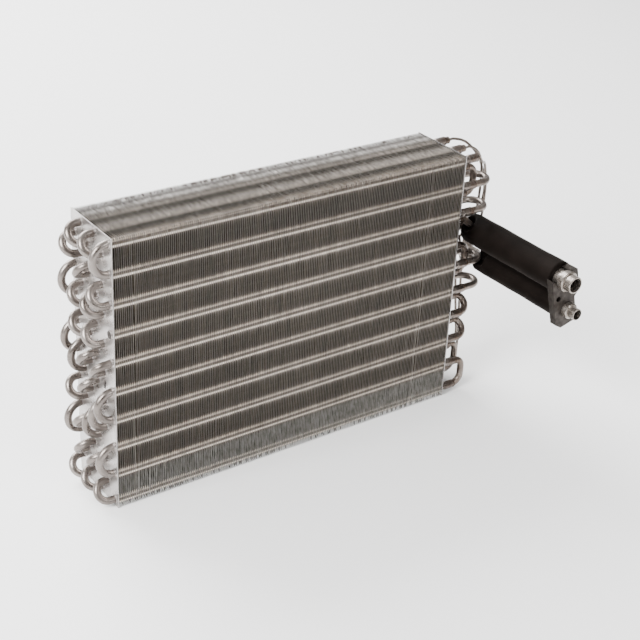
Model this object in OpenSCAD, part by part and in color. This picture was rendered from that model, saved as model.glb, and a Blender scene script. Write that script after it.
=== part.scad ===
// Evaporator core for a vehicle air conditioner: a pack of thin fins on
// six rows of round tubes, fed through a two-port flange at the end of two
// foam-covered pipes. All sizes are in millimetres.
// Inside the modules X runs along the tubes from the left end plate,
// Y runs from the front face to the back face, and Z runs up.

/* [Fin pack] */
// Number of fins between the end plates
fin_count = 200; // [60:1:220]
// Distance from one fin to the next, 15 fins to the inch
fin_pitch = 1.69; // [1.4:0.01:2.5]
// Thickness of one fin with its rippled edge
fin_t = 0.2; // [0.15:0.05:0.5]
// Depth of the open gap between two fins, down to the collars
gap_depth = 1.5; // [0.5:0.1:1.7]
// How far the fins stand back from the edges of the end plates
fin_inset = 0.4; // [0.2:0.1:1]

/* [Tube field] */
// Outer diameter of a core tube
tube_d = 6.35; // [5:0.05:7]
// Wall of a core tube
tube_wall = 0.5; // [0.3:0.05:0.9]
// Distance between tubes in one row
tube_pitch = 25.4; // [20:0.1:32]
// Distance from one row to the next, front to back
row_step = 11; // [10:0.1:14]
// Number of rows, front to back
row_count = 6; // [4:2:6]
// Tubes in an odd row, an even row has one fewer
seat_count = 10; // [10:1:12]
// From the lowest tube's axis to the bottom edge
edge_z = 5.7; // [5.2:0.1:9]
// From the front row's axis to the front edge
edge_y = 5.5; // [5.2:0.1:9]

/* [End plates] */
// Thickness of an end plate
plate_t = 0.7; // [0.5:0.1:2]
// Height of the collar drawn up round each hole
collar_h = 0.8; // [0.3:0.1:0.9]
// Wall of that collar
collar_wall = 0.45; // [0.3:0.05:0.8]
// Length of the lanced slot in the left plate
slot_l = 7.5; // [3:0.5:10]
// Width of that slot
slot_w = 2.2; // [1:0.1:3]

/* [Bends] */
// Straight length of an upright hairpin's legs in front of the left plate
hairpin_lead = 0; // [0:0.1:7.3]
// How far the belled tube ends stand out of the right plate
bell_reach = 16; // [13:0.5:24]
// Where the bell begins, from the right plate
bell_start = 5; // [2:0.5:6]
// Wall of the bell
bell_wall = 0.6; // [0.4:0.05:1]
// How far a return bend is pushed into its bells
bend_insert = 7; // [4:0.5:8]
// Axis of the bends between neighbouring tubes, from the right plate
side_reach = 24.7; // [24.7:0.1:26]
// Axis of the bends that cross in front of those
crossing_reach = 37; // [36:0.5:37]
// Axis of the bends across two rows that have nothing to cross
near_reach = 28; // [27.5:0.5:29]
// Corner radius of a bend between two tubes of one row
corner_r = 9; // [6.5:0.5:12]

/* [Pipes] */
// Outer diameter of the suction pipe
suction_d = 16; // [14:0.5:18]
// Wall of the suction pipe
suction_wall = 1; // [0.8:0.1:1.5]
// Axis of the suction pipe, out from the right plate
suction_out = 35.5; // [35.5:0.5:45]
// Height of that axis over the fifth tubes of the odd rows
suction_rise = 23.8; // [21.3:0.5:26.3]
// How far the suction pipe runs behind the front face, as the header
header_run = 64; // [62:1:75]
// Outer diameter of the liquid pipe
liquid_d = 10; // [8:0.5:12]
// Wall of the liquid pipe
liquid_wall = 0.8; // [0.7:0.1:1.2]
// From the front face to the back of the flange block
pipe_run = 92.2; // [60:1:160]
// Outer diameter of the foam on the suction pipe
suction_foam_d = 27.9; // [20:0.1:28]
// Outer diameter of the foam on the liquid pipe
liquid_foam_d = 22.5; // [16:0.1:23]
// Where the suction foam ends, behind the front face
suction_foam_end = 8; // [0:0.5:8]
// Where the liquid foam ends, behind the front face
liquid_foam_end = 4; // [0:0.5:4]

/* [Flange block] */
// Thickness of the block
flange_t = 7; // [5:0.5:14]
// Distance between its two ports
port_spacing = 31.2; // [30:0.1:36]
// Lean of the line through the ports, the upper one nearer the core
port_lean = 14.6; // [0:0.1:20]
// Diameter of the screw hole
screw_d = 5; // [3:0.1:6.6]
// Outer diameter of the suction stub
suction_stub_d = 15.1; // [13.9:0.1:15.4]
// Outer diameter of the liquid stub
liquid_stub_d = 10.4; // [10.2:0.1:11.5]
// Bore of the suction stub in front of the block
suction_bore = 12.7; // [12.3:0.1:12.9]
// Bore of the liquid stub in front of the block
liquid_bore = 9; // [7:0.1:9.2]
// Collar diameter at the suction stub
suction_collar_d = 18.6; // [17:0.1:20]
// Collar diameter at the liquid stub
liquid_collar_d = 14.2; // [13:0.1:16]
// Height of the collars on the block's face
port_collar_h = 5.5; // [2:0.1:8]
// Length of each stub in front of its collar
stub_l = 6.8; // [4:0.1:12]
// Wall of the stubs' spigots inside the pipes
stub_wall = 0.85; // [0.6:0.05:1.2]

/* [Feed tubes] */
// Outer diameter of a capillary tube
capillary_d = 2.4; // [2:0.1:3]
// Bore of a capillary tube
capillary_bore = 1.4; // [0.8:0.1:1.6]
// Head diameter of the distributor
distributor_d = 15; // [14:0.5:15.5]

/* [Hidden] */
// A tube and the hole that it stands in
fit_gap = 0.05;
// Overlap that keeps a cut clean at a face
over = 1;

tube_r = tube_d / 2;
bore_r = tube_r - tube_wall;
seat_r = tube_r + fit_gap;
bell_r = seat_r + bell_wall;

// The end plates stand outside the first and the last fin
fin_run = fin_count * fin_pitch;
core_w = fin_run + 2 * plate_t;
core_d = 2 * edge_y + (row_count - 1) * row_step;
core_h = 2 * edge_z + (seat_count - 1) * tube_pitch;

// All hairpin bends stand out as far as the upright ones
hairpin_reach = tube_pitch / 2 + hairpin_lead;

// A tube place is [row, seat]: row 1 is the front row, seat 1 is the top one.
// Even rows sit half a pitch lower, which gives the staggered field.
function in_row(row) = row % 2 == 1 ? seat_count : seat_count - 1;
function place_y(p) = edge_y + (p[0] - 1) * row_step;
function place_z(p) = edge_z + tube_pitch * (seat_count - p[1] - (p[0] % 2 == 1 ? 0 : 0.5));
function at(p, x) = [x, place_y(p), place_z(p)];
places = [for (row = [1:row_count]) for (seat = [1:in_row(row)]) [row, seat]];

// The two legs of each hairpin, in the order of the rows
hairpin_legs = [
    [[1, 1], [1, 2]], [[1, 3], [2, 2]], [[1, 5], [2, 5]], [[1, 6], [1, 7]],
    [[1, 8], [1, 9]], [[1, 10], [2, 9]], [[2, 1], [3, 1]], [[2, 3], [3, 3]],
    [[2, 4], [3, 4]], [[2, 6], [2, 7]], [[2, 8], [3, 9]], [[3, 2], [4, 2]],
    [[3, 5], [4, 5]], [[3, 6], [4, 6]], [[3, 7], [3, 8]], [[3, 10], [4, 9]],
    [[4, 1], [5, 1]], [[4, 3], [5, 3]], [[4, 4], [5, 4]], [[4, 7], [5, 8]],
    [[4, 8], [5, 9]], [[5, 2], [6, 1]], [[5, 5], [5, 6]], [[5, 7], [6, 6]],
    [[5, 10], [6, 9]], [[6, 2], [6, 3]], [[6, 4], [6, 5]], [[6, 7], [6, 8]]
];

// Five parallel circuits: the pairs of tube places that each one's return
// bends join, from its feed to its outlet
circuit_bends = [
    [[[1, 2], [3, 2]], [[4, 2], [6, 2]], [[6, 3], [5, 4]]],
    [[[2, 1], [2, 2]], [[1, 3], [3, 3]]],
    [[[4, 1], [6, 1]], [[5, 2], [5, 3]]],
    [
        [[2, 8], [2, 9]], [[1, 10], [1, 9]], [[1, 8], [2, 7]], [[2, 6], [1, 7]], [[1, 6], [3, 6]],
        [[4, 6], [5, 6]], [[5, 5], [4, 5]], [[3, 5], [1, 5]], [[2, 5], [2, 4]]
    ],
    [
        [[4, 9], [5, 10]], [[6, 9], [5, 9]], [[4, 8], [3, 8]], [[3, 7], [4, 7]],
        [[5, 8], [6, 8]], [[6, 7], [5, 7]], [[6, 6], [6, 5]]
    ]
];
circuit_feeds = [[1, 1], [3, 1], [5, 1], [3, 9], [3, 10]];
circuit_outlets = [[4, 4], [2, 3], [4, 3], [3, 4], [6, 4]];
// Bend across two rows with no side bend under it, so it is shorter
near_bends = [[[4, 1], [6, 1]]];

// Ends of the bells and of what is pushed into them, along X
bell_end = core_w + bell_reach;
insert_x = bell_end - bend_insert;

// Pipe axes at the right of the core
suction_x = core_w + suction_out;
suction_z = place_z([1, 5]) + suction_rise;
liquid_x = suction_x + port_spacing * sin(port_lean);
liquid_z = suction_z - port_spacing * cos(port_lean);
suction_r = suction_d / 2;
liquid_r = liquid_d / 2;
flange_back = -pipe_run;
flange_front = flange_back - flange_t;
stub_mouth = flange_front - port_collar_h - stub_l;

// Header cap: its rim, its spigot inside the pipe
cap_rim = 1.2;
cap_spigot = 3;

// Stub fittings: the spigot behind the block, inside the pipe, and the chamfers
spigot_l = 8;
port_chamfer = 1;

// Outline of the block round its upper port, X to the right, Y down
block_left = 14.2;
block_right = 14.8;
block_top = 9;
block_waist = 9;
block_low_half = 9.2;
block_below = 15;
block_corner = 5;
screw_left = 9;
screw_drop = 15.7;
slot_lean = 36;

// Distributor along the liquid pipe: its socket, cone and head
distributor_start = 22;
socket_l = 8;
cone_l = 4;
head_l = 6;
socket_wall = 1.4;
feed_circle_r = 4.6;
feed_depth = 3;
distributor_end = distributor_start + socket_l + cone_l + head_l;

// Feed plugs close the bells of the feed tubes and hold the capillaries
plug_outs = [2.5, 6, 6, 6, 6];
plug_leads = [1.5, 6, 6, 6, 6];
plug_nose = 1.4;
plug_socket = 5;
capillary_r = capillary_d / 2;

// Straight starts of a capillary: out of the distributor's head, out of its plug
feed_nose = 1.5;
feed_lead = 4;
plug_rise = 0.5;

// The origin is under the middle of the whole part
left_end = -hairpin_reach - tube_r;
right_end = liquid_x + liquid_foam_d / 2;
origin_x = (left_end + right_end) / 2;
origin_y = (core_d + stub_mouth) / 2;

function unit(v) = v / norm(v);
function turn(a, b) = acos(min(1, max(-1, unit(a) * unit(b))));
function step(points, i) = points[i + 1] - points[i];

function hairpin_name(legs) = str("hairpin_row_", legs[0][0], "_seat_", legs[0][1]);

// Moves the whole part from the core's corner to its own origin
module placed() translate([-origin_x, -origin_y, 0]) children();

// Turns a shape that was drawn round Z so that it stands round the X axis
module along_x() rotate([90, 0, 90]) children();

// Turns a shape that was drawn round Z so that it stands round the Y axis
module along_y() rotate([-90, 0, 0]) children();

// Stands the children at a point, with their X, Y and Z turned to three unit vectors
module set_in(origin, x, y, z)
    multmatrix([
        [x[0], y[0], z[0], origin[0]],
        [x[1], y[1], z[1], origin[1]],
        [x[2], y[2], z[2], origin[2]],
        [0, 0, 0, 1]
    ])
        children();

// Section of a round tube, or of a rod where the bore is nothing
module ring(outer_r, inner_r)
    difference() {
        circle(r = outer_r, $fn = 16);
        if (inner_r > 0) circle(r = inner_r, $fn = 16);
    }

// Frame of two tube places: X outward, Y from the second place to the first
module between(ends, x, outward)
    set_in(
        (at(ends[0], x) + at(ends[1], x)) / 2, outward,
        unit(at(ends[0], 0) - at(ends[1], 0)), cross(outward, unit(at(ends[0], 0) - at(ends[1], 0)))
    )
        children();

function spread(ends) = norm(at(ends[0], 0) - at(ends[1], 0)) / 2;

// Part of a round turn of tube in the XY plane, round the origin from angle `from`
module turn_of_tube(from, angle, bend_r)
    rotate([0, 0, from]) rotate_extrude(angle = angle, $fn = 32) translate([bend_r, 0]) ring(tube_r, bore_r);

// Route with its corners rounded to bend_r, each as a run of short steps
corner_steps = 5;
function corner_points(points, i, bend_r) =
    let (
        into = step(points, i - 1),
        out = step(points, i),
        way = unit(into),
        inward = unit(unit(out) - (unit(out) * way) * way),
        angle = turn(into, out),
        start = points[i] - way * bend_r * tan(angle / 2)
    )
    [for (k = [0:corner_steps]) start + bend_r * (
        inward * (1 - cos(angle * k / corner_steps)) + way * sin(angle * k / corner_steps)
    )];
function rounded(points, bend_r) = [
    points[0],
    for (i = [1:1:len(points) - 2]) each corner_points(points, i, bend_r),
    points[len(points) - 1]
];

// Smooth curve through all the points, each gap between two of them in a few steps
curve_steps = 3;
function curve_point(p, t) = 0.5 * (
    2 * p[1] + (p[2] - p[0]) * t + (2 * p[0] - 5 * p[1] + 4 * p[2] - p[3]) * t * t
    + (3 * p[1] - p[0] - 3 * p[2] + p[3]) * t * t * t
);
function smooth(points) =
    let (
        last = len(points) - 1,
        all = concat([2 * points[0] - points[1]], points, [2 * points[last] - points[last - 1]])
    )
    [
        for (i = [0:last - 1]) for (k = [0:curve_steps - 1])
            curve_point([for (n = [0:3]) all[i + n]], k / curve_steps),
        points[last]
    ];

// Swept tube of `sides` flats round a route, open at both ends
function heading(route, i) = unit(route[min(i + 1, len(route) - 1)] - route[max(i - 1, 0)]);
function flat_to(v, way) = unit(v - (v * way) * way);
function side_vectors(route) = [
    for (
        i = 0, v = flat_to([0.3, 0.5, 0.8], heading(route, 0));
        i < len(route);
        i = i + 1, v = i < len(route) ? flat_to(v, heading(route, i)) : v
    ) v
];
module swept_tube(route, outer_r, inner_r, sides) {
    v = side_vectors(route);
    rings = len(route);
    skin = [for (r = [outer_r, inner_r]) for (i = [0:rings - 1]) for (k = [0:sides - 1])
        route[i] + r * (v[i] * cos(360 * k / sides) + cross(heading(route, i), v[i]) * sin(360 * k / sides))];
    inner = rings * sides;
    faces = [
        for (i = [0:rings - 2]) for (k = [0:sides - 1])
            let (a = i * sides + k, b = i * sides + (k + 1) % sides)
            each [[b, a, a + sides, b + sides], [inner + a, inner + b, inner + b + sides, inner + a + sides]],
        for (k = [0:sides - 1])
            let (b = (k + 1) % sides, end = (rings - 1) * sides)
            each [[k, b, inner + b, inner + k], [end + b, end + k, inner + end + k, inner + end + b]]
    ];
    polyhedron(skin, faces);
}

// Ring-shaped gap between two fins, open to all four edges
module fin_gap() {
    inner_d = core_d - 2 * (fin_inset + gap_depth);
    inner_h = core_h - 2 * (fin_inset + gap_depth);
    along_x() linear_extrude(fin_pitch - fin_t)
        difference() {
            translate([-over, -over]) square([core_d + 2 * over, core_h + 2 * over]);
            translate([fin_inset + gap_depth, fin_inset + gap_depth]) square([inner_d, inner_h]);
        }
}

// The fins with their touching collars, which close the pack between the gaps
module fin_pack()
    color("silver") placed() difference() {
        translate([plate_t, fin_inset, fin_inset])
            cube([fin_run, core_d - 2 * fin_inset, core_h - 2 * fin_inset]);
        for (i = [0:fin_count - 2])
            translate([plate_t + fin_t / 2 + fin_pitch / 2 + i * fin_pitch, 0, 0]) fin_gap();
        tube_holes();
    }

// One straight hole for each tube place, through everything
module tube_holes()
    for (p = places)
        translate(at(p, -over - collar_h)) along_x()
            cylinder(r = seat_r, h = core_w + 2 * (over + collar_h), $fn = 16);

// Thin plate with a drawn collar round each tube, the collars to the outside
module end_plate(face_x, collar_x)
    difference() {
        union() {
            translate([face_x, 0, 0]) cube([plate_t, core_d, core_h]);
            for (p = places)
                translate(at(p, collar_x)) along_x()
                    cylinder(r = seat_r + collar_wall, h = collar_h + plate_t / 2, $fn = 16);
        }
        tube_holes();
    }

// Lanced slot between the second and the third row, a little off upright
module lanced_slot()
    translate([-over, edge_y + row_step, core_h * 0.45])
        rotate([10, 0, 0]) translate([0, -slot_w / 2, -slot_l / 2]) cube([plate_t + 2 * over, slot_w, slot_l]);

module left_end_plate()
    color("gainsboro") placed() difference() {
        end_plate(0, -collar_h);
        lanced_slot();
    }

module right_end_plate()
    color("gainsboro") placed() end_plate(core_w - plate_t, core_w - plate_t / 2);

// Straight length of tube along X, from the origin
module tube_run(length) rotate([0, 90, 0]) linear_extrude(length) ring(tube_r, bore_r);

// Straight leg of a hairpin, from its bend to the belled end at the right
module hairpin_leg(lead) {
    cone = bell_wall + fit_gap + tube_wall;
    bell_l = bell_reach - bell_start;
    translate([-lead, 0, 0]) tube_run(lead + core_w + bell_start);
    translate([core_w + bell_start, 0, 0]) rotate([0, 90, 0]) rotate_extrude($fn = 16)
        polygon([
            [bore_r, 0], [tube_r, 0], [bell_r, cone], [bell_r, bell_l],
            [seat_r, bell_l], [seat_r, cone]
        ]);
}

// One hairpin: two legs and the bend that joins them in front of the left plate
module hairpin(legs) {
    lead = hairpin_reach - spread(legs);
    color("lightgray") placed() between(legs, 0, [1, 0, 0]) {
        translate([0, spread(legs), 0]) hairpin_leg(lead);
        translate([0, -spread(legs), 0]) hairpin_leg(lead);
        translate([-lead, 0, 0]) turn_of_tube(90, 180, spread(legs));
    }
}

// Return bend between two tube places, brazed into their bells: two legs and
// either one half turn or, between two tubes of a row, two corners and a bridge
function is_in(list, v) = len([for (x = list) if (x == v) 1]) > 0;
function bend_reach(ends) =
    abs(ends[0][0] - ends[1][0]) < 2 ? side_reach : is_in(near_bends, ends) ? near_reach : crossing_reach;
module return_bend(ends) {
    half = spread(ends);
    bend_r = ends[0][0] == ends[1][0] ? min(corner_r, half) : half;
    leg = bell_reach - bend_insert;
    run = bend_reach(ends) - bend_r - leg;
    between(ends, core_w + leg, [1, 0, 0]) {
        for (side = [-1, 1]) {
            translate([0, side * half, 0]) tube_run(run);
            translate([run, side * (half - bend_r), 0]) turn_of_tube(side < 0 ? -90 : 0, 90, bend_r);
        }
        if (half > bend_r)
            translate([run + bend_r, bend_r - half, 0]) rotate([0, 0, 90]) tube_run(2 * (half - bend_r));
    }
}

module return_bends(circuit)
    color("lightgray") placed() for (ends = circuit_bends[circuit]) return_bend(ends);

// Route of each outlet spur from its tube to just inside the header's wall
spur_bend = 10;
spur_lead = 19;
spur_depth = suction_r - suction_wall - 0.3;
rear_spur_shift = 7;
function toward_header(from, y) =
    [suction_x, y, suction_z] - spur_depth * unit([suction_x, y, suction_z] - from);
function slanted_spur(p, shift) =
    let (knee = at(p, core_w + spur_lead))
    [at(p, insert_x), knee, toward_header(knee, place_y(p) - shift)];
spur_routes = [
    rounded(slanted_spur(circuit_outlets[0], 0), spur_bend),
    rounded(slanted_spur(circuit_outlets[1], 0), spur_bend),
    rounded(slanted_spur(circuit_outlets[2], 0), spur_bend),
    [at(circuit_outlets[3], insert_x), at(circuit_outlets[3], suction_x - spur_depth)],
    rounded(slanted_spur(circuit_outlets[4], rear_spur_shift), spur_bend)
];

module outlet_spur(i) color("lightgray") placed() swept_tube(spur_routes[i], tube_r, bore_r, 16);

// Hole in the header's wall for the end of a spur
module spur_hole(route) {
    end = route[len(route) - 1];
    way = unit(end - route[len(route) - 2]);
    side = unit(cross(way, [0, 1, 0]));
    set_in(end - way * suction_r, side, cross(way, side), way) cylinder(r = seat_r, h = suction_r + over, $fn = 32);
}

// Suction pipe from the flange block to the header behind the bends
module suction_pipe()
    color("lightgray") placed() difference() {
        translate([suction_x, flange_back, suction_z]) along_y() rotate_extrude($fn = 48)
            translate([suction_r - suction_wall, 0]) square([suction_wall, pipe_run + header_run - cap_rim]);
        for (route = spur_routes) spur_hole(route);
    }

// Pressed cap that closes the header
module header_cap()
    color("lightgray") placed() translate([suction_x, header_run, suction_z]) along_y()
        rotate_extrude($fn = 48) polygon([
            [0, -cap_rim], [suction_r - suction_wall - fit_gap - 1, -cap_rim],
            [suction_r - suction_wall - fit_gap - 1, -cap_rim - cap_spigot],
            [suction_r - suction_wall - fit_gap, -cap_rim - cap_spigot],
            [suction_r - suction_wall - fit_gap, -cap_rim], [suction_r, -cap_rim],
            [suction_r - 1, 0], [0, 0]
        ]);

module liquid_pipe()
    color("lightgray") placed() translate([liquid_x, flange_back, liquid_z]) along_y()
        rotate_extrude($fn = 32) translate([liquid_r - liquid_wall, 0])
            square([liquid_wall, pipe_run + distributor_start + socket_l]);

// Foam sleeve on a pipe, from the flange block to its end near the core
module foam_sleeve(x, z, pipe_r, foam_d, end_y)
    color("#242424") placed() translate([x, flange_back, z]) along_y()
        rotate_extrude($fn = 64) translate([pipe_r + fit_gap, 0])
            square([foam_d / 2 - pipe_r - fit_gap, pipe_run + end_y]);

module suction_foam() foam_sleeve(suction_x, suction_z, suction_r, suction_foam_d, suction_foam_end);

module liquid_foam() foam_sleeve(liquid_x, liquid_z, liquid_r, liquid_foam_d, liquid_foam_end);

// Turned stub: spigot in the pipe, shank in the block, collar on its face, mouth in front
module stub(x, z, stub_d, stub_bore, collar_d, pipe_r, pipe_wall) {
    stub_r = stub_d / 2;
    spigot_r = pipe_r - pipe_wall - fit_gap;
    bore = spigot_r - stub_wall;
    mouth = port_collar_h + stub_l;
    color("silver") placed() translate([x, flange_front, z]) rotate([90, 0, 0])
        rotate_extrude($fn = 48) polygon([
            [bore, -flange_t - spigot_l], [spigot_r, -flange_t - spigot_l],
            [spigot_r, -flange_t], [pipe_r, -flange_t], [pipe_r, 0],
            [collar_d / 2, 0], [collar_d / 2, port_collar_h - port_chamfer],
            [collar_d / 2 - port_chamfer, port_collar_h], [stub_r, port_collar_h],
            [stub_r, mouth - port_chamfer / 2], [stub_r - port_chamfer / 2, mouth],
            [stub_bore / 2, mouth], [stub_bore / 2, 0], [bore, 0]
        ]);
}

module suction_stub()
    stub(suction_x, suction_z, suction_stub_d, suction_bore, suction_collar_d, suction_r, suction_wall);

module liquid_stub()
    stub(liquid_x, liquid_z, liquid_stub_d, liquid_bore, liquid_collar_d, liquid_r, liquid_wall);

// Outline of the block: a wide upper part, a waist at the right and a narrow foot
module block_outline() {
    low = port_spacing + block_below;
    shoulder = port_spacing - block_waist;
    foot = port_spacing + block_low_half - block_corner / 2;
    polygon([
        [-block_left, -block_top], [block_right - block_corner, -block_top],
        [block_right, -block_top + block_corner], [block_right, shoulder - block_corner],
        [block_low_half, shoulder], [block_low_half, foot],
        [block_low_half - block_corner / 2, low], [-block_low_half, low], [-block_left, low - block_corner]
    ]);
}

// Open slot by which the suction pipe is laid into the block, up and to the left
module pipe_slot() {
    slot_r = suction_r + fit_gap;
    circle(r = slot_r, $fn = 48);
    rotate([0, 0, -slot_lean]) translate([-slot_r, -block_left - block_top]) square([2 * slot_r, block_left + block_top]);
}

// Block that carries both stubs, seen from the front with X to the right and Y down
module flange_block()
    color("gray") placed() difference() {
        translate([suction_x, flange_back, suction_z])
            set_in(
                [0, 0, 0], [cos(port_lean), 0, sin(port_lean)],
                [sin(port_lean), 0, -cos(port_lean)], [0, -1, 0]
            )
                linear_extrude(flange_t) difference() {
                    block_outline();
                    translate([-screw_left, screw_drop]) circle(d = screw_d, $fn = 32);
                    pipe_slot();
                }
        translate([liquid_x, flange_back + over, liquid_z]) rotate([90, 0, 0])
            cylinder(r = liquid_r + fit_gap, h = flange_t + 2 * over, $fn = 48);
    }

// Places of the feed holes in the distributor's head
feed_turn = 360 / len(circuit_feeds);
function feed_hole(i) = [
    liquid_x + feed_circle_r * cos(18 + feed_turn * i), distributor_end,
    liquid_z + feed_circle_r * sin(18 + feed_turn * i)
];

module distributor()
    color("silver") placed() difference() {
        translate([liquid_x, 0, liquid_z]) along_y() rotate_extrude($fn = 48) polygon([
            [liquid_r + fit_gap, distributor_start], [liquid_r + socket_wall, distributor_start],
            [liquid_r + socket_wall, distributor_start + socket_l],
            [distributor_d / 2, distributor_start + socket_l + cone_l], [distributor_d / 2, distributor_end],
            [0, distributor_end], [0, distributor_end - feed_depth],
            [liquid_r - liquid_wall, distributor_start + socket_l],
            [liquid_r + fit_gap, distributor_start + socket_l]
        ]);
        for (i = [0:len(circuit_feeds) - 1])
            translate(feed_hole(i)) along_y()
                translate([0, 0, -feed_depth * 2])
                    cylinder(r = capillary_r + fit_gap, h = feed_depth * 2 + over, $fn = 16);
    }

// Capillary routes: out of the distributor's head, up or down outside the header,
// and into the end of the feed plug. The points are [out from the right plate, Y,
// height over the suction pipe's axis].
capillary_ways = [
    [
        [50, 46.5, -25.5], [51, 41, -16.5], [50, 31, -6.5], [47.5, 24, 8.5], [47, 22.5, 26.5],
        [46.5, 22.5, 43.5], [43.5, 22, 56.5], [37.5, 17.5, 64.5], [30, 11, 68.5], [23.5, 6.7, 73]
    ],
    [
        [44.5, 46.5, -20], [47, 38, -8.5], [46.5, 31, 9.5], [45.5, 28, 33.5], [44, 27.5, 55.5], [38.5, 27.5, 70.5]
    ],
    [
        [39, 50, -25.5], [44, 52, -14.5], [49.5, 44, -2.5], [51.5, 34, 11.5], [51, 29, 23.5],
        [50.2, 27.5, 37.5], [47.3, 28.5, 51], [43.6, 34.5, 65.5], [36.5, 43.5, 75.5]
    ],
    [[42, 48, -37.5], [40, 43, -51.5], [38, 38, -71.5], [37, 33, -94.5], [36, 29, -114.5]],
    [[47, 47, -37.5], [46, 42, -52.5], [45, 39, -76.5], [44, 36, -104.5], [42, 32, -130.5], [36, 29, -146.5]]
];
function capillary_route(i) =
    let (mouth = feed_hole(i), plug_end = at(circuit_feeds[i], bell_end + plug_outs[i]))
    smooth(concat(
        [for (out = [-feed_depth, feed_nose, feed_lead]) mouth + [0, out, 0]],
        [for (p = capillary_ways[i]) [core_w + p[0], p[1], suction_z + p[2]]],
        [plug_end + [plug_leads[i], 0, 0], plug_end + [plug_rise, 0, 0], plug_end - [plug_socket - fit_gap, 0, 0]]
    ));

module capillary(i)
    color("lightgray") placed() swept_tube(capillary_route(i), capillary_r, capillary_bore / 2, 8);

// Turned plug in the bell of a feed tube, with a socket for its capillary
module feed_plug(length)
    rotate_extrude($fn = 24) polygon([
        [capillary_bore / 2, 0], [tube_r, 0], [tube_r, length - plug_nose], [tube_r - plug_nose, length],
        [capillary_r + fit_gap, length], [capillary_r + fit_gap, length - plug_socket],
        [capillary_bore / 2, length - plug_socket]
    ]);

module feed_plugs()
    color("silver") placed() for (i = [0:len(circuit_feeds) - 1])
        translate(at(circuit_feeds[i], insert_x)) along_x() feed_plug(bend_insert + plug_outs[i]);

fin_pack();
left_end_plate();
right_end_plate();
for (legs = hairpin_legs)
    hairpin(legs);
for (i = [1:len(circuit_bends)])
    return_bends(i - 1);
for (i = [1:len(circuit_outlets)])
    outlet_spur(i - 1);
for (i = [1:len(circuit_feeds)])
    capillary(i - 1);
feed_plugs();
distributor();
suction_pipe();
header_cap();
liquid_pipe();
suction_foam();
liquid_foam();
suction_stub();
liquid_stub();
flange_block();
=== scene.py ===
# %% [markdown]
# # Evaporator core
# This script dresses the core of a vehicle air conditioner: a pack of thin
# aluminium fins on six rows of tubes, with two foam-covered pipes that end in
# a flange block. The solids come from the CAD frame and keep their places.
# The script adds what only a close look shows: rippled fins, collars, braze
# rings, soft foam sleeves, and a material for each finish.

import bpy
import numpy as np
from mathutils import Matrix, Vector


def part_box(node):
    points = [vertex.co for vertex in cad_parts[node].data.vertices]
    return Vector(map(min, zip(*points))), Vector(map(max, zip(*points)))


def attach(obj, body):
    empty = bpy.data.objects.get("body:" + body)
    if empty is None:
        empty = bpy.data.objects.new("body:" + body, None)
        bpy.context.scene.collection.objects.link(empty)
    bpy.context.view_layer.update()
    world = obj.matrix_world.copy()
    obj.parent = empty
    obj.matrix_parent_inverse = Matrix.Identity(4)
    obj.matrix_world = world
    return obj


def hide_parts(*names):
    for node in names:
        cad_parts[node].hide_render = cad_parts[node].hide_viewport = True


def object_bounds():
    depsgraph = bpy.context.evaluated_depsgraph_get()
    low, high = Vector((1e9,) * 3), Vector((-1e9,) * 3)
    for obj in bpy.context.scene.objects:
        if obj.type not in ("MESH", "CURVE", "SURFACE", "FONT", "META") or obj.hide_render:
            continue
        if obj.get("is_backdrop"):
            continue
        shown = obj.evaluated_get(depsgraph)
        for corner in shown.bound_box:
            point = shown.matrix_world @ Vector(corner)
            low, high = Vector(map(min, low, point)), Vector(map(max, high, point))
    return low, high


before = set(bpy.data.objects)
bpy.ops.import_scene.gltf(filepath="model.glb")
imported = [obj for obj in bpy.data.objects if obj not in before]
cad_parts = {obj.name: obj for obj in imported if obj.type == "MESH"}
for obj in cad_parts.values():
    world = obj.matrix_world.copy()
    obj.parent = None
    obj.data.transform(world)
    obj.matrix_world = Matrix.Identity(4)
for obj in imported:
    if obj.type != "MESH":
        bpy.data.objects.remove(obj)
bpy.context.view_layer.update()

# %% [markdown]
# All sizes below are millimetres from one corner of the core, as a maker would
# measure them. The frame is in metres with its own origin, so one helper
# carries points over. The corner is read from the left end plate: its outer
# face, its front edge and its bottom edge.

# %% The core's corner
MM = 0.001
# the plate's collars stand out this far from its outer face
PLATE_COLLAR = 0.8
plate_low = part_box("left_end_plate")[0]
CORNER = np.array([plate_low.x + PLATE_COLLAR * MM, plate_low.y, plate_low.z])


def from_corner(points_mm):
    """Points in millimetres from the core's corner, as metres in the frame."""
    return np.asarray(points_mm, float) * MM + CORNER


print("corner of the core at", CORNER.round(4))

# %% [markdown]
# The camera comes first. It was fitted to the photograph by matching the
# corners of the core and the ends of the tubes, so its place, its turn and its
# focal length are plain numbers. Its three axes are worked out from azimuth,
# elevation and roll, and become the columns of its matrix.

# %% The camera
azimuth, elevation, roll = np.radians([-36.5134, 28.5415, 3.12149])
# the point in the middle of the picture and the camera's distance from it, in mm
LOOK_AT, AWAY = np.array([216.885, 32.992, 98.457]), 1189.998
# focal length as measured in the photograph, against its width in pixels
FOCAL_PIXELS, PHOTO_PIXELS, SENSOR = 1359.666, 640.0, 36.0
# the camera sees this many metres, so the floor's far edge is in view
SIGHT = 20.0


def matrix_of(x_axis, y_axis, z_axis, place):
    """Object matrix whose columns are three axes and a place."""
    matrix = np.eye(4)
    matrix[:3] = np.stack([x_axis, y_axis, z_axis, place], 1)
    return Matrix(matrix.tolist())


back = np.array(
    [np.sin(azimuth) * np.cos(elevation), -np.cos(azimuth) * np.cos(elevation), np.sin(elevation)]
)
level_right = np.array([np.cos(azimuth), np.sin(azimuth), 0.0])
level_up = np.cross(back, level_right)
right = level_right * np.cos(roll) + level_up * np.sin(roll)
up = -level_right * np.sin(roll) + level_up * np.cos(roll)
place = from_corner(LOOK_AT + back * AWAY)

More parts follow.
